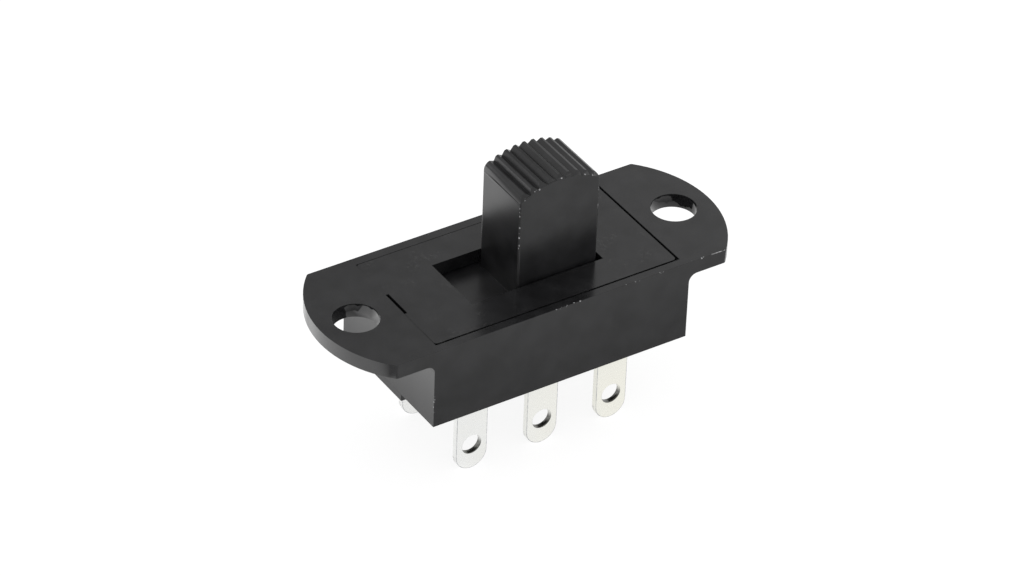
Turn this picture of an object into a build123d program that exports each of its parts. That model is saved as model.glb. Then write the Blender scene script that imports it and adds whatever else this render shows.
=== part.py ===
from build123d import *
from math import asin, cos, degrees, radians, sin, sqrt, tan
import os

# A two-pole slide switch for panel mounting, at real size in millimetres.
# The origin is the centre of the flange's top face. X runs along the slot, the front row of
# lugs is on the -Y side, and +Z points out of the panel. The knob is drawn at the right stop.

# Flange and its mounting holes
hole_spacing = 28.575
hole_radius = 1.82
hole_to_end = 3.1125
flange_width = 13.18
flange_thickness = 1.25
flange_end_radius = 9.3
flange_corner_radius = 0.3

# Housing box under the flange
body_length = 22.77
body_height = 7.04
end_wall = 0.505
side_wall = 0.82
end_ledge = 0.88
side_ledge = 0.67
floor_thickness = 1.19
flange_fillet = 0.7
barrier_thickness = 0.7
barrier_end_gap = 0.7
barrier_top_gap = 0.2
nest_rib_thickness = 0.8
nest_rib_rise = 0.85
rail_width = 0.6

# Cover let into the top of the housing and held by two hooked legs
cover_thickness = 1.2
cover_corner_radius = 0.3
cover_end_play = 0.1
cover_side_play = 0.05
cover_offset = -0.09
leg_width = 3.84
leg_thickness = 0.65
leg_side_play = 0.1
leg_flex_room = 0.6
hook_height = 0.64
hook_air = 0.01
hook_chamfer = 0.06
relief_width = 2.74
relief_depth = 0.24
relief_drop = 4.0

# Actuator: the knob and the base plate it stands on
travel = 3.72
knob_length = 7.12
knob_width = 5.24
knob_edge_radius = 0.15
knob_end_gap = 0.46
knob_side_gap = 0.24
crown_height = 8.91
crown_radius = 6.7
shoulder_drop = 0.78
ridge_count = 9
ridge_step_deg = 6.95
ridge_crest_deg = 1.7
ridge_depth = 0.29
ridge_end_chamfer = 0.3
base_thickness = 1.3
base_end_gap = 0.19
base_side_play = 0.1
slide_air = 0.1

# Solder lugs, one L-shaped blade each
lug_pitch = 6.35
lug_width = 2.75
lug_thickness = 0.5
lug_tip_depth = 14.5
lug_eye_radius = 0.85
lug_eye_to_tip = 2.26
lug_play = 0.05
lug_bend_radius = 0.4
head_inner_gap = 0.3
head_outer_gap = 0.31

# See-saw strips and their contacts
pole_spacing = 3.0
rocker_thickness = 0.45
rocker_end = 0.8
rocker_bend_radius = 0.6
rocker_side_gap = 0.2
rocker_lift_gap = 0.33
fulcrum_radius = 0.3
fulcrum_air = 0.03
fulcrum_grip = 0.12
contact_air = 0.03
fixed_contact_radius = 0.85
fixed_contact_height = 0.4
moving_contact_radius = 0.75
moving_contact_height = 0.3
rivet_radius = 0.4
rivet_play = 0.02
rivet_head_radius = 0.6
rivet_head_height = 0.12

# Plungers and their springs, in blind pockets of the knob
plunger_radius = 0.65
plunger_play = 0.05
plunger_length = 3.5
plunger_air = 0.08
plunger_pin_radius = 0.32
plunger_pin_length = 0.8
pocket_top = 4.0
spring_outer_radius = 0.6
spring_wire_radius = 0.09
spring_turns = 4
spring_air = 0.02

# Heights that follow from the sizes above
floor_top = floor_thickness - body_height
head_top = floor_top + lug_thickness
fixed_contact_top = head_top + fixed_contact_height
arm_underside = fixed_contact_top + contact_air + moving_contact_height
arm_top = arm_underside + rocker_thickness
base_top = -cover_thickness - slide_air
base_bottom = base_top - base_thickness
rail_top = base_bottom - slide_air
plunger_tip = arm_top + plunger_air
hook_top = -body_height - hook_air

# Each arm of a strip is bent up so far that its raised end stays clear of the base plate
arm_lift = base_bottom - rocker_lift_gap - arm_top
arm_angle_deg = degrees(asin(arm_lift / (lug_pitch + rocker_end))) / 2

# Places that follow from the sizes above
pole_y = pole_spacing / 2
knob_x = travel / 2
flange_length = hole_spacing + 2 * hole_to_end
recess_length = body_length - 2 * end_wall
recess_width = flange_width - 2 * side_wall
cover_length = recess_length - 2 * cover_end_play
cover_width = recess_width - 2 * cover_side_play
cavity_length = recess_length - 2 * end_ledge
cavity_width = recess_width - 2 * side_ledge
slot_length = knob_length + travel + 2 * knob_end_gap
slot_width = knob_width + 2 * knob_side_gap
base_length = cavity_length - travel - 2 * base_end_gap
base_width = cavity_width - 2 * base_side_play
rocker_width = pole_spacing - barrier_thickness - 2 * rocker_side_gap
leg_pocket_inner = cavity_length / 2 - leg_flex_room
hook_reach = (body_length - cover_length) / 2 + cover_offset
lower_cavity_width = cavity_width - 2 * rail_width
head_inner_y = barrier_thickness / 2 + head_inner_gap
head_outer_y = lower_cavity_width / 2 - head_outer_gap
row_y = head_outer_y - lug_thickness / 2

# The strip lies flat on its right arm at rest, so its bend stands above the pivot axis by this much
fulcrum_rise = fulcrum_radius + fulcrum_air - fulcrum_grip
pivot_z = arm_underside - fulcrum_rise * cos(radians(arm_angle_deg))

rows = {"front": -1, "rear": 1}
columns = {"left": -1, "center": 0, "right": 1}
ends = {"left": -1, "right": 1}


def save(piece, name):
    """Label a finished piece and write it."""
    piece.label = name
    export_step(piece, f"parts/{name}.step")


def arm_plane(row, end):
    """Plane through the pivot axis, lying along one arm of a strip at rest."""
    tilt = radians(arm_angle_deg * (1 - end))
    return Plane(
        origin=(0, row * pole_y, pivot_z),
        x_dir=(cos(tilt), 0, -sin(tilt)),
        z_dir=(sin(tilt), 0, cos(tilt)),
    )


def crown_point(angle_deg, radius):
    """Point of the knob's outline at an angle from the crown's middle."""
    angle = radians(angle_deg)
    return (knob_x + radius * sin(angle), crown_height - crown_radius + radius * cos(angle))


def ridge_outline():
    """Corner points of the ridged top, from the left side of the knob to the right."""
    points = []
    half_count = (ridge_count - 1) / 2
    for ridge in range(ridge_count):
        middle = (ridge - half_count) * ridge_step_deg
        if ridge > 0:
            points.append(crown_point(middle - ridge_step_deg / 2, crown_radius - ridge_depth))
        points.append(crown_point(middle - ridge_crest_deg / 2, crown_radius))
        points.append(crown_point(middle + ridge_crest_deg / 2, crown_radius))
    return points


os.makedirs("parts", exist_ok=True)

# Housing: flange plate with rounded ends, box under it, and everything the pieces sit in
with BuildPart() as housing:
    end_center = flange_length / 2 - flange_end_radius
    straight_end = end_center + sqrt(flange_end_radius**2 - (flange_width / 2) ** 2)
    with BuildSketch():
        with BuildLine():
            Line((-straight_end, flange_width / 2), (straight_end, flange_width / 2))
            ThreePointArc(
                (straight_end, flange_width / 2),
                (flange_length / 2, 0),
                (straight_end, -flange_width / 2),
            )
            Line((straight_end, -flange_width / 2), (-straight_end, -flange_width / 2))
            ThreePointArc(
                (-straight_end, -flange_width / 2),
                (-flange_length / 2, 0),
                (-straight_end, flange_width / 2),
            )
        make_face()
    extrude(amount=-flange_thickness)
    fillet(housing.edges().filter_by(Axis.Z), flange_corner_radius)
    with BuildSketch(Plane.XY.offset(-flange_thickness)):
        Rectangle(body_length, flange_width)
    extrude(amount=flange_thickness - body_height)
    under_flange = housing.edges().filter_by(Axis.Y)
    under_flange = under_flange.filter_by_position(Axis.Z, -flange_thickness, -flange_thickness)
    fillet(under_flange, flange_fillet)

    with Locations((-hole_spacing / 2, 0), (hole_spacing / 2, 0)):
        Hole(hole_radius)

    # Recess for the cover, then the space the base plate slides in, then the contact space
    with BuildSketch():
        Rectangle(recess_length, recess_width)
    extrude(amount=-cover_thickness, mode=Mode.SUBTRACT)
    with BuildSketch(Plane.XY.offset(-cover_thickness)):
        Rectangle(cavity_length, cavity_width)
    extrude(amount=rail_top + cover_thickness, mode=Mode.SUBTRACT)
    with BuildSketch(Plane.XY.offset(rail_top)):
        Rectangle(cavity_length, lower_cavity_width)
    extrude(amount=floor_top - rail_top, mode=Mode.SUBTRACT)

    # Pockets for the cover's legs, open through the floor
    pocket_length = recess_length / 2 - leg_pocket_inner
    with BuildSketch(Plane.XY.offset(-cover_thickness)):
        for end in ends.values():
            with Locations((end * (leg_pocket_inner + pocket_length / 2), 0)):
                Rectangle(pocket_length, leg_width + 2 * leg_side_play)
    extrude(amount=cover_thickness - body_height, mode=Mode.SUBTRACT)

    # Wall between the two poles, and low ribs that part the lug heads
    with BuildSketch(Plane.XY.offset(floor_top)):
        Rectangle(2 * (leg_pocket_inner - barrier_end_gap), barrier_thickness)
    extrude(amount=base_bottom - barrier_top_gap - floor_top)
    with BuildSketch(Plane.XY.offset(floor_top)):
        with GridLocations(lug_pitch, 0, 2, 1):
            Rectangle(nest_rib_thickness, lower_cavity_width)
    extrude(amount=nest_rib_rise)

    # Slots in the floor for the six lugs
    with BuildSketch(Plane.XY.offset(floor_top)):
        with GridLocations(lug_pitch, 2 * row_y, 3, 2):
            Rectangle(lug_width + 2 * lug_play, lug_thickness + 2 * lug_play)
    extrude(amount=-floor_thickness, mode=Mode.SUBTRACT)
housing.part.label = "housing"
export_step(housing.part, "parts/housing.step")

# Cover: a slotted plate with a hooked leg at each end
with BuildPart() as cover:
    left_edge = cover_offset - cover_length / 2
    with BuildSketch():
        with Locations((cover_offset, 0)):
            RectangleRounded(cover_length, cover_width, cover_corner_radius)
        Rectangle(slot_length, slot_width, mode=Mode.SUBTRACT)
    extrude(amount=-cover_thickness)
    for end in ends.values():
        outer = cover_offset + end * cover_length / 2
        inner = outer - end * leg_thickness
        hook = outer + end * hook_reach
        with BuildSketch(Plane.XZ):
            with BuildLine():
                Polyline(
                    (inner, -cover_thickness),
                    (outer, -cover_thickness),
                    (outer, hook_top),
                    (hook, hook_top),
                    (hook, hook_top - hook_height + hook_chamfer),
                    (hook - end * hook_chamfer, hook_top - hook_height),
                    (inner, hook_top - hook_height),
                    close=True,
                )
            make_face()
        extrude(amount=leg_width / 2, both=True)
    # Shallow relief down the outside of the left leg, seen from above as a short slit
    with BuildSketch():
        with Locations((left_edge + relief_depth / 2, 0)):
            Rectangle(relief_depth, relief_width)
    extrude(amount=-relief_drop, mode=Mode.SUBTRACT)
cover.part.label = "cover"
export_step(cover.part, "parts/cover.step")

# Actuator: crowned knob with cross ridges, base plate under the cover, two plunger pockets
with BuildPart() as actuator:
    crown_end = crown_height - crown_radius + sqrt(crown_radius**2 - (knob_length / 2) ** 2)
    knob_left = knob_x - knob_length / 2
    knob_right = knob_x + knob_length / 2
    with BuildSketch(Plane.XZ):
        with BuildLine():
            Line((knob_left, crown_end), (knob_left, base_top))
            Line((knob_left, base_top), (knob_right, base_top))
            Line((knob_right, base_top), (knob_right, crown_end))
            ThreePointArc((knob_right, crown_end), (knob_x, crown_height), (knob_left, crown_end))
        make_face()
    extrude(amount=knob_width / 2, both=True)
    chamfer(actuator.edges().filter_by(GeomType.CIRCLE).sort_by(Axis.Y)[0], ridge_end_chamfer)
    fillet(actuator.edges().filter_by(Axis.Z), knob_edge_radius)
    # The crown is cut back to its ridges, and rounded down to the sides from the outermost two
    with BuildSketch(Plane.XZ):
        with BuildLine():
            ridges = Polyline(*ridge_outline())
            shoulder = (ridges @ 0).Y - shoulder_drop
            TangentArc((knob_left, shoulder), ridges @ 0, tangent=(0, 1))
            TangentArc((knob_right, shoulder), ridges @ 1, tangent=(0, 1))
            Polyline(
                (knob_left, shoulder),
                (knob_left, base_top),
                (knob_right, base_top),
                (knob_right, shoulder),
            )
        make_face()
    extrude(amount=knob_width / 2, both=True, mode=Mode.INTERSECT)
    with BuildSketch(Plane.XY.offset(base_bottom)):
        with Locations((knob_x, 0)):
            Rectangle(base_length, base_width)
    extrude(amount=base_thickness)
    with BuildSketch(Plane.XY.offset(base_bottom)):
        with Locations((knob_x, -pole_y), (knob_x, pole_y)):
            Circle(plunger_radius + plunger_play)
    extrude(amount=pocket_top - base_bottom, mode=Mode.SUBTRACT)
actuator.part.label = "actuator"
export_step(actuator.part, "parts/actuator.step")


def make_terminal(row, row_name, column, column_name):
    """Solder lug: a blade through the floor, bent inwards to carry a contact or the fulcrum."""
    x = column * lug_pitch
    with BuildPart() as terminal:
        with BuildSketch(Plane.XZ.offset(-row * row_y)):
            tip_center = -lug_tip_depth + lug_width / 2
            with Locations((x, (head_top + tip_center) / 2)):
                Rectangle(lug_width, head_top - tip_center)
            with Locations((x, tip_center)):
                Circle(lug_width / 2)
            with Locations((x, -lug_tip_depth + lug_eye_to_tip)):
                Circle(lug_eye_radius, mode=Mode.SUBTRACT)
        extrude(amount=lug_thickness / 2, both=True)
        with BuildSketch(Plane.XY.offset(floor_top)):
            with Locations((x, row * (head_inner_y + head_outer_y) / 2)):
                Rectangle(lug_width, head_outer_y - head_inner_y)
        extrude(amount=lug_thickness)
        bend = terminal.edges().filter_by(Axis.X).group_by(Axis.Z)[-1]
        fillet(bend.sort_by(Axis.Y)[0 if row < 0 else -1], lug_bend_radius)
        if column == 0:
            # Rounded ridge that the see-saw strip rocks on
            with BuildSketch(Plane.XZ.offset(-row * pole_y)):
                with Locations((0, (head_top + pivot_z) / 2)):
                    Rectangle(2 * fulcrum_radius, pivot_z - head_top)
                with Locations((0, pivot_z)):
                    Circle(fulcrum_radius)
            extrude(amount=pole_y - head_inner_y, both=True)
        else:
            with BuildSketch(Plane.XY.offset(floor_top)):
                with Locations((x, row * pole_y)):
                    Circle(rivet_radius + rivet_play)
            extrude(amount=lug_thickness, mode=Mode.SUBTRACT)
    save(terminal.part, f"{row_name}_{column_name}_terminal")


def make_fixed_contact(row, row_name, end, end_name):
    """Contact rivet set in the head of an end terminal."""
    place = (end * lug_pitch, row * pole_y)
    with BuildPart() as contact:
        with BuildSketch(Plane.XY.offset(head_top)):
            with Locations(place):
                Circle(fixed_contact_radius)
        extrude(amount=fixed_contact_height)
        with BuildSketch(Plane.XY.offset(floor_top)):
            with Locations(place):
                Circle(rivet_radius)
        extrude(amount=lug_thickness)
    save(contact.part, f"{row_name}_{end_name}_fixed_contact")


def make_rocker(row, row_name):
    """See-saw strip, bent up a little each side of the groove that sits on the fulcrum."""
    middle = Plane(
        origin=(0, row * pole_y, pivot_z),
        x_dir=(cos(radians(arm_angle_deg)), 0, -sin(radians(arm_angle_deg))),
        z_dir=(0, -1, 0),
    )
    reach = (lug_pitch + rocker_end) * cos(radians(arm_angle_deg))
    rise = reach * tan(radians(arm_angle_deg))
    depth = rocker_thickness / cos(radians(arm_angle_deg))
    with BuildPart() as rocker:
        with BuildSketch(middle) as profile:
            with BuildLine():
                Polyline(
                    (-reach, fulcrum_rise + rise),
                    (0, fulcrum_rise),
                    (reach, fulcrum_rise + rise),
                    (reach, fulcrum_rise + rise + depth),
                    (0, fulcrum_rise + depth),
                    (-reach, fulcrum_rise + rise + depth),
                    close=True,
                )
            make_face()
            bend = profile.vertices().filter_by_position(Axis.X, -0.01, 0.01).sort_by(Axis.Y)[-1]
            fillet(bend, rocker_bend_radius)
            Circle(fulcrum_radius + fulcrum_air, mode=Mode.SUBTRACT)
        extrude(amount=rocker_width / 2, both=True)
        for end in ends.values():
            with BuildSketch(arm_plane(row, end)):
                with Locations((end * lug_pitch, 0)):
                    Circle(rivet_radius + rivet_play)
            extrude(amount=lug_pitch, mode=Mode.SUBTRACT)
    save(rocker.part, f"{row_name}_rocker")


def make_moving_contact(row, row_name, end, end_name):
    """Contact rivet at the end of a see-saw strip, with its small closing head on top."""
    underside = fulcrum_rise * cos(radians(arm_angle_deg))
    plane = arm_plane(row, end)
    steps = [
        (underside - moving_contact_height, moving_contact_height, moving_contact_radius),
        (underside, rocker_thickness, rivet_radius),
        (underside + rocker_thickness, rivet_head_height, rivet_head_radius),
    ]
    with BuildPart() as contact:
        for height, length, radius in steps:
            with BuildSketch(plane.offset(height)):
                with Locations((end * lug_pitch, 0)):
                    Circle(radius)
            extrude(amount=length)
    save(contact.part, f"{row_name}_{end_name}_moving_contact")


def make_plunger(row, row_name):
    """Round-nosed pin that slides in the knob, with a thinner tail inside its spring."""
    with BuildPart() as plunger:
        with BuildSketch(Plane.XZ.offset(-row * pole_y)):
            nose_z = plunger_tip + plunger_radius
            shoulder_z = plunger_tip + plunger_length
            with BuildLine():
                Polyline(
                    (knob_x + plunger_radius, nose_z),
                    (knob_x + plunger_radius, shoulder_z),
                    (knob_x + plunger_pin_radius, shoulder_z),
                    (knob_x + plunger_pin_radius, shoulder_z + plunger_pin_length),
                    (knob_x, shoulder_z + plunger_pin_length),
                    (knob_x, plunger_tip),
                )
                RadiusArc((knob_x, plunger_tip), (knob_x + plunger_radius, nose_z), -plunger_radius)
            make_face()
        revolve(axis=Axis((knob_x, row * pole_y, 0), (0, 0, 1)))
    save(plunger.part, f"{row_name}_plunger")


def make_spring(row, row_name):
    """Coil spring between the plunger's shoulder and the top of its pocket."""
    end_gap = spring_wire_radius + spring_air
    bottom = plunger_tip + plunger_length + end_gap
    length = pocket_top - end_gap - bottom
    with BuildPart() as spring:
        with BuildLine(Plane((knob_x, row * pole_y, bottom))) as coil:
            Helix(length / spring_turns, length, spring_outer_radius - spring_wire_radius)
        with BuildSketch(Plane(origin=coil.line @ 0, z_dir=coil.line % 0)):
            # Six flats stand for the round wire
            RegularPolygon(spring_wire_radius, 6)
        sweep(path=coil.line, is_frenet=True)
    save(spring.part, f"{row_name}_spring")


for row_name, row in rows.items():
    for column_name, column in columns.items():
        make_terminal(row, row_name, column, column_name)
    for end_name, end in ends.items():
        make_fixed_contact(row, row_name, end, end_name)
        make_moving_contact(row, row_name, end, end_name)
    make_rocker(row, row_name)
    make_plunger(row, row_name)
    make_spring(row, row_name)
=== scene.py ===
import bpy
import math
from mathutils import Matrix, Vector


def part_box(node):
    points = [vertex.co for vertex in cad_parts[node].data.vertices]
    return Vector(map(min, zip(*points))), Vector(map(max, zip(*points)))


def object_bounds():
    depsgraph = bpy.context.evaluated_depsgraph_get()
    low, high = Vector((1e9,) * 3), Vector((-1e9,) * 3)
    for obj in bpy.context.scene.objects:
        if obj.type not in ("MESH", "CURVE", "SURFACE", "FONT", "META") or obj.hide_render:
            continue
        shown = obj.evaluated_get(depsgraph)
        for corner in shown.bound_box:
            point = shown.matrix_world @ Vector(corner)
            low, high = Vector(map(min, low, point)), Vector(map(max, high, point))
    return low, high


# Looks of a small black slide switch, seen from above its front left corner on plain white
MM = 0.001
WHITE = (1, 1, 1, 1)

# Camera, as solved from the photograph: aim point, direction, distance and lens
AIM = Vector((-0.95, -0.80, -1.61)) * MM
AZIMUTH_DEG = -33.64
ELEVATION_DEG = 36.33
ROLL_DEG = 2.21
DISTANCE = 379.7 * MM
LENS_MM = 175.87
CLIP_NEAR, CLIP_FAR = 0.01, 20.0

# Light: an even white sky with one dim patch high behind the object, whose soft rim shows
# in the flange's gloss, and one weak lamp high on the front left
SKY_LEVEL = 0.95
DIM_PLACE = (0.25, 0.70, 0.67)
DIM_LEVEL = 0.46
DIM_RIM = (0.966, 0.985)
KEY_PLACE = Vector((-0.25, -0.15, 0.45))
KEY_SIZE = 0.30
KEY_POWER = 0.05

# Floor: it lights the object as white paper does. The eye sees its own glow and a share of
# the light that falls on it, so that it is white and still keeps the shadow.
FLOOR_SIZE = 4.0
FLOOR_ROUGHNESS = 0.9
FLOOR_BOUNCE = 0.90
FLOOR_SHADE = 0.22
FLOOR_WHITE = 0.86

# Floor in a reflection, with painted light and shade: its level beside the object, painted pools of
# light to the left and at the back, and in front a painted shadow, darkest close by and towards the
# left corner.
# A turn is the stretch over which one level passes into the next.
BESIDE = 0.76
LEFT_TURN, LEFT_PAINTED_LIGHT = (-22.0 * MM, -16.5 * MM), 1.90
BACK_TURN, BACK_PAINTED_LIGHT = (15.0 * MM, 26.0 * MM), 1.35
FRONT_TURN = (-27.0 * MM, -13.5 * MM)
FRONT_FAR, FRONT_PAINTED_SHADOW = 0.85, 0.36
FRONT_FADE = 1.5 * MM
CORNER_TURN, CORNER_PAINTED_SHADE = (-20.0 * MM, -13.0 * MM), 0.72

# Edges: how far the sharp corners are rounded, by kind of piece. The housing's edge along
# the front of the cover is rounded most, which shows the gap there as a dark line.
SEAM_EDGE = 0.13 * MM
MOULDED_EDGE = 0.03 * MM
KNOB_EDGE = 0.03 * MM
CREST_EDGE = 0.02 * MM
SHEET_EDGE = 0.03 * MM
SHARP_DEG = 24
FLAT_DEG = 0.5
WELD_GAP = 0.0005 * MM
FACE_WEIGHT = 60

# Places that the finish needs, as in the part: mounting holes, lugs, body and knob
HOLE_X, HOLE_RADIUS = 14.2875 * MM, 1.82 * MM
LUG_PITCH, LUG_HALF = 6.35 * MM, 1.375 * MM
EYE_Z, EYE_RADIUS = -12.24 * MM, 0.85 * MM
TIP_Z = -13.125 * MM
BODY_LENGTH = 22.77 * MM
KNOB_X, KNOB_LENGTH, KNOB_WIDTH = 1.86 * MM, 7.12 * MM, 5.24 * MM
CROWN_Z, CROWN_RADIUS = 2.21 * MM, 6.7 * MM

# Boxes in which edges are rounded in their own way: how far each reaches from its middle,
# or past the cover's own edge
LEFT_SEAM_REACH, LEFT_SEAM_PAST = 0.3 * MM, 0.2 * MM
BACK_SEAM_REACH, BACK_SEAM_PAST = 0.15 * MM, 0.5 * MM
TIGHT_DEPTH = 0.05 * MM
FRONT_SEAM_BOX = (11 * MM, 0.1 * MM, 0.02 * MM)
HOOK_BOX = (8 * MM, 2.2 * MM, 0.1 * MM)
BOTTOM_DEPTH = 0.02 * MM
CREST_MIDDLE, CREST_REACH = 9 * MM, 2 * MM

# Black nylon: its tints and roughness, then the size and the band of each texture in it
NYLON_DARK, NYLON_PALE = (0.0065, 0.0065, 0.0070), (0.0150, 0.0150, 0.0160)
NYLON_IOR = 1.45
SHELL_ROUGHNESS, COVER_ROUGHNESS, KNOB_ROUGHNESS = 0.20, 0.19, 0.30
ROUGHNESS_BELOW, ROUGHNESS_ABOVE = 0.02, 0.03
MOTTLE_SIZE, MOTTLE_BAND = 2.0 * MM, (0.34, 0.66)
WAVE_SIZE, WAVE_STRETCH, WAVE_DEPTH = 4.0 * MM, (2.5, 1, 1), 0.004 * MM
GRAIN_SIZE, GRAIN_DEPTH = 0.09 * MM, 0.0006 * MM
MIDDLE_BAND = (0.3, 0.7)

# The walls of the mounting holes are smoother: where their finish ends, and its share of the
# roughness outside
HOLE_RIM = (HOLE_RADIUS + 0.01 * MM, HOLE_RADIUS + 0.02 * MM)
HOLE_SMOOTH = 0.35

# Dust on the cover, in thin clouds of fine grains
DUST_GREY = (0.06, 0.06, 0.06)
DUST_SHARE = 0.35
DUST_CLOUD_SIZE, DUST_CLOUD_BAND = 2.4 * MM, (0.52, 0.66)
DUST_GRAIN_SIZE, DUST_GRAIN_BAND = 0.35 * MM, (0.50, 0.70)

# Worn specks: round dots, thinned out in patches, and ragged dashes
WORN_GREY = (0.42, 0.42, 0.43)
WORN_ROUGHNESS = 0.3
DOT_CELL, DOT_SIZE, DOT_CORE = 0.25 * MM, 0.09 * MM, 0.5
PATCH_SIZE, PATCH_BAND = 0.7 * MM, (0.45, 0.50)
DASH_SIZE, DASH_BAND = 0.20 * MM, (0.44, 0.50)

# Worn edges: from where to where along the edge, and how far to its sides
FLANGE_DOTS = (-1.0 * MM, 15.2 * MM, 0.10 * MM)
FLANGE_DASHES = (13.2 * MM, 15.2 * MM, 0.05 * MM)
BODY_CORNER_DOTS = (-5.7 * MM, -4.1 * MM, 0.12 * MM)
KNOB_LEFT_DOTS = (3.0 * MM, 8.2 * MM, 0.11 * MM)
KNOB_RIGHT_DOTS = (4.5 * MM, 8.2 * MM, 0.11 * MM)
CROWN_DOTS_DROP, CROWN_DOTS_REACH = 0.3 * MM, 0.12 * MM
MASK_CORE = 0.7
MASK_FADE = 0.5 * MM

# Metals: the tint on the left, the tint on the right, and the roughness
LUG_PLATE = ((0.955, 0.96, 0.945), (0.955, 0.945, 0.86), 0.28)
CONTACT_FACE = ((0.88, 0.87, 0.85), (0.84, 0.83, 0.80), 0.22)
SPRING_WIRE = ((0.62, 0.62, 0.64), (0.56, 0.56, 0.58), 0.22)
PIN_BRASS = ((0.80, 0.63, 0.33), (0.75, 0.57, 0.29), 0.24)
TINT_TURN = (-4 * MM, 10 * MM)
CLOUD_SIZE, CLOUD_DRIFT, CLOUD_DEPTH = 2.2 * MM, 6 * MM, 0.004 * MM
PIT_SIZE, PIT_ROUGHNESS = 0.25 * MM, 0.02

# Painted shade on the lugs: a grey line just inside each outline, broken up by the pits, for the
# dark that the rounded edge reflects, and the walls of its eye painted darker below
EDGE_PAINTED_SHADE = (0.42, 0.43, 0.45)
EDGE_INNER = (0.075 * MM, 0.045 * MM)
EDGE_OUTER = (0.003 * MM, 0.008 * MM)
EDGE_BREAK_BAND, EDGE_BREAK_SHARE = (0.40, 0.58), (0.45, 0.95)
EYE_PAINTED_SHADE = (0.17, 0.17, 0.16)
EYE_RIM = (EYE_RADIUS + 0.03 * MM, EYE_RADIUS + 0.005 * MM)
EYE_TURN = (EYE_Z + 0.30 * MM, EYE_Z - 0.25 * MM)


def node_tree(name):
    """A new material with only its output and one Principled shader."""
    material = bpy.data.materials.new(name)
    material.use_nodes = True
    tree = material.node_tree
    return material, tree, tree.nodes["Principled BSDF"]


def add(tree, kind, **settings):
    """A new node, with its properties and input values set by name."""
    node = tree.nodes.new(kind)
    for key, value in settings.items():
        if hasattr(node, key):
            setattr(node, key, value)
        else:
            node.inputs[key.replace("_", " ")].default_value = value
    return node


def ramp(tree, source, low, high, out_low=0.0, out_high=1.0):
    """Stretch a value's band from low to high onto out_low to out_high."""
    node = add(tree, "ShaderNodeMapRange", clamp=True, From_Min=low, From_Max=high,
               To_Min=out_low, To_Max=out_high)
    tree.links.new(source, node.inputs["Value"])
    return node.outputs["Result"]


def math_node(tree, operation, *values):
    """Result of one operation on numbers or on other nodes' outputs."""
    node = add(tree, "ShaderNodeMath", operation=operation)
    for socket, value in zip(node.inputs, values):
        if isinstance(value, (int, float)):
            socket.default_value = value
        else:
            tree.links.new(value, socket)
    return node.outputs["Value"]


def product(tree, a, b):
    return math_node(tree, "MULTIPLY", a, b)


def mix_color(tree, factor, a, b):
    """Color a where the factor is 0 and b where it is 1."""
    node = add(tree, "ShaderNodeMix", data_type="RGBA")
    tree.links.new(factor, node.inputs["Factor"])
    for socket, value in ((node.inputs["A"], a), (node.inputs["B"], b)):
        if isinstance(value, tuple):
            socket.default_value = (*value, 1)
        else:
            tree.links.new(value, socket)
    return node.outputs["Result"]


def bump(tree, shader, layers):
    """Chain of bumps, each a height between 0 and 1 with its depth in metres."""
    last = None
    for height, depth in layers:
        node = add(tree, "ShaderNodeBump", Strength=1.0, Distance=depth)
        tree.links.new(height, node.inputs["Height"])
        if last is not None:
            tree.links.new(last, node.inputs["Normal"])
        last = node.outputs["Normal"]
    tree.links.new(last, shader.inputs["Normal"])


def separate(tree, vector):
    """The three values of a vector, by the name of their axis."""
    parts = add(tree, "ShaderNodeSeparateXYZ")
    tree.links.new(vector, parts.inputs["Vector"])
    return {axis: parts.outputs[axis] for axis in "XYZ"}


def distance(tree, values, place):
    """How far a point is from a place, over as many axes as are given."""
    total = 0.0
    for value, target in zip(values, place):
        offset = math_node(tree, "SUBTRACT", value, target)
        total = math_node(tree, "ADD", total, product(tree, offset, offset))
    return math_node(tree, "SQRT", total)


def scaled(tree, coords, size, stretch=(1, 1, 1)):
    """Coordinates counted in cells of `size` metres, drawn out along an axis by stretch."""
    mapping = add(tree, "ShaderNodeMapping", Scale=[1 / (size * s) for s in stretch])
    tree.links.new(coords, mapping.inputs["Vector"])
    return mapping.outputs["Vector"]


def noise(tree, coords, size, detail=3.0, rough=0.5, stretch=(1, 1, 1)):
    """Noise whose blobs are about `size` metres across."""
    node = add(tree, "ShaderNodeTexNoise", Scale=1.0, Detail=detail, Roughness=rough)
    tree.links.new(scaled(tree, coords, size, stretch), node.inputs["Vector"])
    return node.outputs["Fac"]


def dots(tree, coords, cell, size):
    """Small round specks scattered at random, about one to a cell."""
    cells = add(tree, "ShaderNodeTexVoronoi", Scale=1.0)
    tree.links.new(scaled(tree, coords, cell), cells.inputs["Vector"])
    return ramp(tree, cells.outputs["Distance"], size / cell, DOT_CORE * size / cell)


def worn_line(along, place, start, stop, reach):
    """Maker of a mask: 1 within `reach` of the line along an axis through `place`."""
    def mask(tree, coords):
        axes = separate(tree, coords)
        along_value = axes.pop(along)
        across = [value for axis, value in zip("XYZ", place) if axis != along]
        off = distance(tree, axes.values(), across)
        near = ramp(tree, off, reach, MASK_CORE * reach)
        begun = ramp(tree, along_value, start, start + MASK_FADE)
        not_over = ramp(tree, along_value, stop, stop - MASK_FADE)
        return product(tree, near, product(tree, begun, not_over))
    return mask


def worn_arc(center, radius, reach):
    """Maker of a mask: 1 within `reach` of an arc that lies in an XZ plane."""
    def mask(tree, coords):
        axes = separate(tree, coords)
        from_center = distance(tree, (axes["X"], axes["Z"]), (center[0], center[2]))
        off_arc = math_node(tree, "SUBTRACT", from_center, radius)
        off = distance(tree, (off_arc, axes["Y"]), (0.0, center[1]))
        return ramp(tree, off, reach, MASK_CORE * reach)
    return mask


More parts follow.
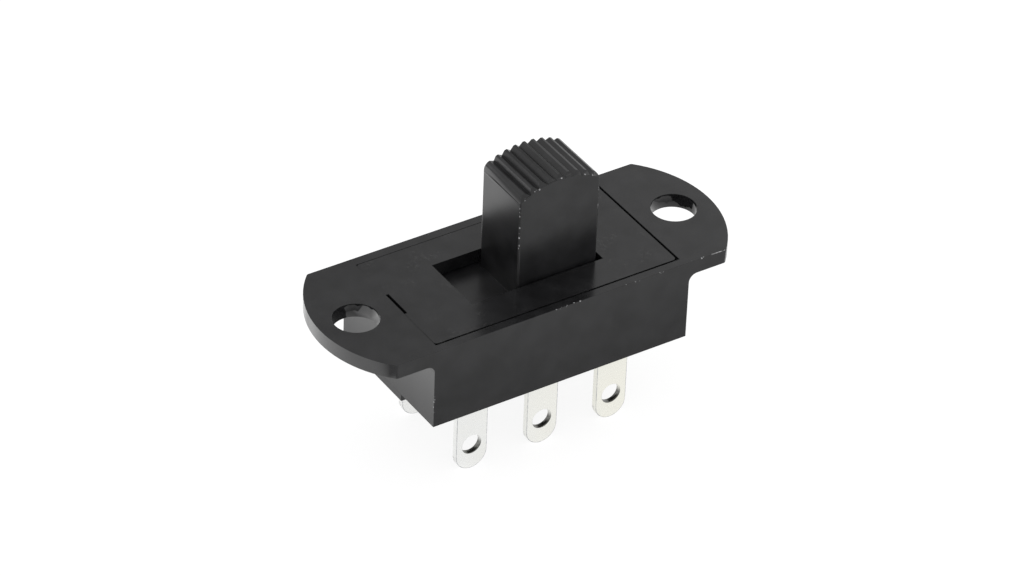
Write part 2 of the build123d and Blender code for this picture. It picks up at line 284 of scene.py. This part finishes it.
def worn_specks(tree, coords, dotted, dashed):
    """Round dots on the dotted edges and ragged dashes on the dashed ones."""
    round_dots = dots(tree, coords, DOT_CELL, DOT_SIZE)
    patches = ramp(tree, noise(tree, coords, PATCH_SIZE, detail=1.0), *PATCH_BAND)
    dashes = ramp(tree, noise(tree, coords, DASH_SIZE, detail=2.0, rough=0.7), *DASH_BAND)
    specks = 0.0
    for masks, pattern in ((dotted, product(tree, round_dots, patches)), (dashed, dashes)):
        for mask in masks:
            wear_and_shade = product(tree, mask(tree, coords), pattern)
            specks = math_node(tree, "MAXIMUM", specks, wear_and_shade)
    return specks


def dust_clouds(tree, coords):
    """Fine grains of dust that lie in thin clouds."""
    clouds = ramp(tree, noise(tree, coords, DUST_CLOUD_SIZE, detail=1.0), *DUST_CLOUD_BAND)
    grains = ramp(tree, noise(tree, coords, DUST_GRAIN_SIZE), *DUST_GRAIN_BAND)
    return product(tree, clouds, grains)


def black_nylon(name, rough, dotted=(), dashed=(), dust=0.0):
    """Near-black moulding with a slow mottle, some dust, and pale specks on its worn edges.

    `dotted` and `dashed` hold makers of masks, one for each worn edge."""
    material, tree, shader = node_tree(name)
    coords = add(tree, "ShaderNodeTexCoord").outputs["Object"]
    shader.inputs["IOR"].default_value = NYLON_IOR
    mottle = ramp(tree, noise(tree, coords, MOTTLE_SIZE, detail=4.0, rough=0.6), *MOTTLE_BAND)
    waves = noise(tree, coords, WAVE_SIZE, detail=2.0, stretch=WAVE_STRETCH)
    grain = noise(tree, coords, GRAIN_SIZE, detail=2.0)

    axes = separate(tree, coords)
    to_hole = distance(tree, (math_node(tree, "ABSOLUTE", axes["X"]), axes["Y"]), (HOLE_X, 0.0))
    elsewhere = ramp(tree, to_hole, *HOLE_RIM)
    swing = ramp(tree, waves, *MIDDLE_BAND, rough - ROUGHNESS_BELOW, rough + ROUGHNESS_ABOVE)
    roughness = product(tree, swing, ramp(tree, elsewhere, 0.0, 1.0, HOLE_SMOOTH, 1.0))
    body = mix_color(tree, mottle, NYLON_DARK, NYLON_PALE)
    if dust:
        body = mix_color(tree, product(tree, dust_clouds(tree, coords), dust), body, DUST_GREY)
    if dotted or dashed:
        specks = worn_specks(tree, coords, dotted, dashed)
        body = mix_color(tree, specks, body, WORN_GREY)
        roughness = math_node(tree, "ADD", roughness, product(tree, specks, WORN_ROUGHNESS))
    tree.links.new(body, shader.inputs["Base Color"])
    tree.links.new(roughness, shader.inputs["Roughness"])
    bump(tree, shader, [(product(tree, waves, elsewhere), WAVE_DEPTH),
                        (product(tree, grain, elsewhere), GRAIN_DEPTH)])
    return material


def lug_painted_shade(tree, axes, pits, tint):
    """A lug's tint with a grey line of painted shade along its outline and painted shade on the lower
    walls of its eye.
    """
    beside = math_node(tree, "WRAP", axes["X"], LUG_PITCH / 2, -LUG_PITCH / 2)
    below_tip = math_node(tree, "MINIMUM", math_node(tree, "SUBTRACT", axes["Z"], TIP_Z), 0.0)
    off_middle = distance(tree, (beside, below_tip), (0.0, 0.0))
    inset = math_node(tree, "SUBTRACT", LUG_HALF, off_middle)
    line = product(tree, ramp(tree, inset, *EDGE_INNER), ramp(tree, inset, *EDGE_OUTER))
    # The painted shade line, thinned out where the pits fall
    wear_and_shade = product(tree, line, ramp(tree, pits, *EDGE_BREAK_BAND, *EDGE_BREAK_SHARE))
    tint = mix_color(tree, wear_and_shade, tint, EDGE_PAINTED_SHADE)
    to_eye = distance(tree, (beside, axes["Z"]), (0.0, EYE_Z))
    eye_painted_shade = product(tree, ramp(tree, to_eye, *EYE_RIM), ramp(tree, axes["Z"], *EYE_TURN))
    return mix_color(tree, eye_painted_shade, tint, EYE_PAINTED_SHADE)


def plated_metal(name, left, right, rough, is_lug=False):
    """Bright metal that turns from one tint to the other along X."""
    material, tree, shader = node_tree(name)
    coords = add(tree, "ShaderNodeTexCoord").outputs["Object"]
    axes = separate(tree, coords)
    clouds = noise(tree, coords, CLOUD_SIZE, detail=2.0)
    pits = noise(tree, coords, PIT_SIZE)
    drift = math_node(tree, "ADD", axes["X"], product(tree, clouds, CLOUD_DRIFT))
    tint = mix_color(tree, ramp(tree, drift, *TINT_TURN), left, right)
    # On lugs, painted shade: a grey line inside the outline and darker lower eye walls
    if is_lug:
        tint = lug_painted_shade(tree, axes, pits, tint)
    shader.inputs["Metallic"].default_value = 1.0
    tree.links.new(tint, shader.inputs["Base Color"])
    roughness = ramp(tree, pits, *MIDDLE_BAND, rough - PIT_ROUGHNESS, rough + PIT_ROUGHNESS)
    tree.links.new(roughness, shader.inputs["Roughness"])
    bump(tree, shader, [(clouds, CLOUD_DEPTH)])
    return material


def edge_group(base, boxes):
    """Node group that marks sharp edges with their share of the modifier's rounding.

    The share is `base`, and inside each box, which is a middle, a reach along each axis and a
    share, it is the box's own."""
    tree = bpy.data.node_groups.new("round_edges", "GeometryNodeTree")
    for side in ("INPUT", "OUTPUT"):
        tree.interface.new_socket("Geometry", in_out=side, socket_type="NodeSocketGeometry")
    angle = add(tree, "GeometryNodeInputMeshEdgeAngle").outputs["Unsigned Angle"]
    place = add(tree, "GeometryNodeInputPosition").outputs["Position"]
    sharp = math_node(tree, "GREATER_THAN", angle, math.radians(SHARP_DEG))
    weight = base
    for middle, reaches, share in boxes:
        offset = add(tree, "ShaderNodeVectorMath", operation="SUBTRACT")
        tree.links.new(place, offset.inputs[0])
        offset.inputs[1].default_value = middle
        axes = separate(tree, offset.outputs["Vector"])
        outside = 0.0
        for axis, reach in zip("XYZ", reaches):
            past = math_node(tree, "GREATER_THAN", math_node(tree, "ABSOLUTE", axes[axis]), reach)
            outside = math_node(tree, "MAXIMUM", outside, past)
        kept = product(tree, weight, outside)
        inside = product(tree, share, math_node(tree, "SUBTRACT", 1.0, outside))
        weight = math_node(tree, "ADD", kept, inside)
    store = add(tree, "GeometryNodeStoreNamedAttribute", data_type="FLOAT", domain="EDGE",
                Name="bevel_weight_edge")
    tree.links.new(product(tree, sharp, weight), store.inputs["Value"])
    tree.links.new(add(tree, "NodeGroupInput").outputs["Geometry"], store.inputs["Geometry"])
    tree.links.new(store.outputs["Geometry"], add(tree, "NodeGroupOutput").inputs["Geometry"])
    return tree


def soften(node, width, group, segments=2):
    """Round a CAD piece's sharp edges by a hair, without touching its mesh."""
    weld = node.modifiers.new("weld", "WELD")
    weld.merge_threshold = WELD_GAP
    flat = node.modifiers.new("flatten", "DECIMATE")
    flat.decimate_type = "DISSOLVE"
    flat.angle_limit = math.radians(FLAT_DEG)
    marks = node.modifiers.new("marks", "NODES")
    marks.node_group = group
    edge = node.modifiers.new("edges", "BEVEL")
    edge.width = width
    edge.segments = segments
    edge.limit_method = "WEIGHT"
    edge.harden_normals = True
    edge.use_clamp_overlap = True
    even = node.modifiers.new("even", "WEIGHTED_NORMAL")
    even.keep_sharp = True
    even.weight = FACE_WEIGHT


def paint(node, material):
    """Give a CAD piece one material, in every slot that it has."""
    if not node.material_slots:
        node.data.materials.append(material)
    for slot in node.material_slots:
        slot.material = material


def dress_mouldings(nodes):
    """Housing, cover and knob: black nylon, worn where hands and the panel rub."""
    low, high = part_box("housing")
    lid_low, lid_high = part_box("cover")
    flange_front = (0, low[1], high[2])
    body_corner = (-BODY_LENGTH / 2, low[1], 0)
    knob_left = (KNOB_X - KNOB_LENGTH / 2, -KNOB_WIDTH / 2, 0)
    knob_right = (KNOB_X + KNOB_LENGTH / 2, -KNOB_WIDTH / 2, 0)
    crown = (KNOB_X, -KNOB_WIDTH / 2, CROWN_Z)
    shell = black_nylon("shell_nylon", SHELL_ROUGHNESS,
                        dotted=[worn_line("X", flange_front, *FLANGE_DOTS),
                                worn_line("Z", body_corner, *BODY_CORNER_DOTS)],
                        dashed=[worn_line("X", flange_front, *FLANGE_DASHES)])
    lid = black_nylon("cover_nylon", COVER_ROUGHNESS, dust=DUST_SHARE)
    knob = black_nylon("knob_nylon", KNOB_ROUGHNESS,
                       dotted=[worn_line("Z", knob_left, *KNOB_LEFT_DOTS),
                               worn_line("Z", knob_right, *KNOB_RIGHT_DOTS),
                               worn_arc(crown, CROWN_RADIUS - CROWN_DOTS_DROP, CROWN_DOTS_REACH)])

    # The cover lies tight against the housing at its left end, its back and its left hook,
    # so no rounded edge shows there, and the housing's bottom edges are crisp
    left_seam = (LEFT_SEAM_REACH, lid_high[1] + LEFT_SEAM_PAST, TIGHT_DEPTH)
    back_seam = (lid_high[0] + BACK_SEAM_PAST, BACK_SEAM_REACH, TIGHT_DEPTH)
    crisp = [((lid_low[0], 0, 0), left_seam, 0.0),
             ((0, lid_high[1], 0), back_seam, 0.0),
             ((low[0], 0, low[2]), HOOK_BOX, 0.0),
             ((0, 0, low[2]), (high[0], high[1], BOTTOM_DEPTH), 0.0)]
    front_seam = ((0, lid_low[1], 0), FRONT_SEAM_BOX)
    shell_edges = edge_group(MOULDED_EDGE / SEAM_EDGE, crisp + [(*front_seam, 1.0)])
    lid_edges = edge_group(1.0, crisp + [(*front_seam, 0.0)])
    crest = ((KNOB_X, 0, high[2] + CREST_MIDDLE), (KNOB_LENGTH, KNOB_WIDTH, CREST_REACH))
    knob_edges = edge_group(1.0, [(*crest, CREST_EDGE / KNOB_EDGE)])
    for name, material, width, group in (("housing", shell, SEAM_EDGE, shell_edges),
                                         ("cover", lid, MOULDED_EDGE, lid_edges),
                                         ("actuator", knob, KNOB_EDGE, knob_edges)):
        paint(nodes[name], material)
        soften(nodes[name], width, group)


def dress_metals(nodes):
    """Lugs, see-saw strips, contacts, pins and springs, told apart by the end of their name."""
    silver = plated_metal("lug_plate", *LUG_PLATE, is_lug=True)
    contact = plated_metal("contact_face", *CONTACT_FACE)
    wire = plated_metal("spring_wire", *SPRING_WIRE)
    brass = plated_metal("pin_brass", *PIN_BRASS)
    every_edge = edge_group(1.0, [])
    for name, node in nodes.items():
        kind = name.split("_")[-1]
        if kind in ("terminal", "rocker"):
            paint(node, silver)
            soften(node, SHEET_EDGE, every_edge)
        elif kind == "contact":
            paint(node, contact)
            soften(node, SHEET_EDGE, every_edge, segments=1)
        elif kind == "plunger":
            paint(node, brass)
        elif kind == "spring":
            paint(node, wire)


def ray_kinds(tree):
    """1 on rays straight from the eye or through glass, and 1 on rays off a glossy face."""
    path = add(tree, "ShaderNodeLightPath").outputs
    direct = math_node(tree, "MAXIMUM", path["Is Camera Ray"], path["Is Transmission Ray"])
    return direct, path["Is Glossy Ray"]


def floor_painted_light(tree):
    """How bright the floor looks in a reflection, painted by where on it the ray lands: pools of light
    to the left and back, and shadow close in front.
    """
    axes = separate(tree, add(tree, "ShaderNodeTexCoord").outputs["Object"])
    left = ramp(tree, axes["X"], *LEFT_TURN, LEFT_PAINTED_LIGHT, BESIDE)
    back = ramp(tree, axes["Y"], *BACK_TURN, BESIDE, BACK_PAINTED_LIGHT)
    around = math_node(tree, "MAXIMUM", left, back)
    close_by = ramp(tree, axes["Y"], *FRONT_TURN, FRONT_FAR, FRONT_PAINTED_SHADOW)
    front = product(tree, close_by, ramp(tree, axes["X"], *CORNER_TURN, CORNER_PAINTED_SHADE, 1.0))
    front_end = FRONT_TURN[1]
    is_front = ramp(tree, axes["Y"], front_end, front_end + FRONT_FADE, 1.0, 0.0)
    not_front = math_node(tree, "SUBTRACT", 1.0, is_front)
    return math_node(tree, "ADD", product(tree, is_front, front), product(tree, not_front, around))


def make_floor(height):
    """Studio floor that looks white to the eye, and shows painted light and painted shadow of its own
    in reflections.
    """
    mesh = bpy.data.meshes.new("floor")
    half = FLOOR_SIZE / 2
    corners = [(x, y, height) for x, y in ((-half, -half), (half, -half), (half, half), (-half, half))]
    mesh.from_pydata(corners, [], [(0, 1, 2, 3)])
    floor = bpy.data.objects.new("floor", mesh)
    bpy.context.scene.collection.objects.link(floor)
    material, tree, shader = node_tree("floor_white")
    shader.inputs["Roughness"].default_value = FLOOR_ROUGHNESS
    shader.inputs["Specular IOR Level"].default_value = 0.0
    shader.inputs["Emission Color"].default_value = WHITE
    direct, glossy = ray_kinds(tree)
    # Rays off glossy faces see the painted light and shadow; rays from the eye see plain white
    seen = math_node(tree, "ADD", product(tree, floor_painted_light(tree), glossy),
                     product(tree, direct, FLOOR_WHITE))
    tree.links.new(seen, shader.inputs["Emission Strength"])
    looked_at = math_node(tree, "MAXIMUM", direct, glossy)
    color = mix_color(tree, looked_at, (FLOOR_BOUNCE,) * 3, (FLOOR_SHADE,) * 3)
    tree.links.new(color, shader.inputs["Base Color"])
    mesh.materials.append(material)


def make_world():
    """Even white sky with its dim patch, and plain white behind the object."""
    world = bpy.data.worlds.new("studio")
    bpy.context.scene.world = world
    world.use_nodes = True
    tree = world.node_tree
    background = tree.nodes["Background"]
    background.inputs["Color"].default_value = WHITE
    toward = add(tree, "ShaderNodeVectorMath", operation="DOT_PRODUCT")
    tree.links.new(add(tree, "ShaderNodeTexCoord").outputs["Generated"], toward.inputs[0])
    toward.inputs[1].default_value = Vector(DIM_PLACE).normalized()
    sky = ramp(tree, toward.outputs["Value"], *DIM_RIM, SKY_LEVEL, DIM_LEVEL)
    direct = ray_kinds(tree)[0]
    tree.links.new(math_node(tree, "MAXIMUM", direct, sky), background.inputs["Strength"])


def make_key():
    """Weak square lamp, aimed at the frame's origin."""
    light = bpy.data.lights.new("key", "AREA")
    light.shape = "SQUARE"
    light.size = KEY_SIZE
    light.energy = KEY_POWER
    lamp = bpy.data.objects.new("key", light)
    lamp.location = KEY_PLACE
    lamp.rotation_euler = (-KEY_PLACE).to_track_quat("-Z", "Y").to_euler()
    bpy.context.scene.collection.objects.link(lamp)


def make_camera():
    """The photograph's camera, from its direction, distance, roll and lens."""
    azimuth, elevation = math.radians(AZIMUTH_DEG), math.radians(ELEVATION_DEG)
    back = Vector((math.sin(azimuth) * math.cos(elevation),
                   -math.cos(azimuth) * math.cos(elevation), math.sin(elevation)))
    data = bpy.data.cameras.new("camera")
    data.lens = LENS_MM
    data.clip_start, data.clip_end = CLIP_NEAR, CLIP_FAR
    camera = bpy.data.objects.new("camera", data)
    turn = (-back).to_track_quat("-Z", "Y").to_matrix().to_4x4()
    camera.matrix_world = (Matrix.Translation(AIM + back * DISTANCE) @ turn
                           @ Matrix.Rotation(math.radians(ROLL_DEG), 4, "Z"))
    bpy.context.scene.collection.objects.link(camera)
    bpy.context.scene.camera = camera


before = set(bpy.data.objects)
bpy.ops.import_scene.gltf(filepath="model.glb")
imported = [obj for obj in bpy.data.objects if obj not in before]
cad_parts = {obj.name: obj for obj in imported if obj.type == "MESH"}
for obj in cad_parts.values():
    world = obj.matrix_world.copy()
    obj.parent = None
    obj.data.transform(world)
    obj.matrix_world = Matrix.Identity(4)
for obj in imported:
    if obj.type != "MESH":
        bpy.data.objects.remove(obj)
cad_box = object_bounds()

dress_mouldings(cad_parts)
dress_metals(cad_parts)
make_world()
make_floor(cad_box[0].z)
make_key()
make_camera()
bpy.context.scene.view_settings.view_transform = "Standard"
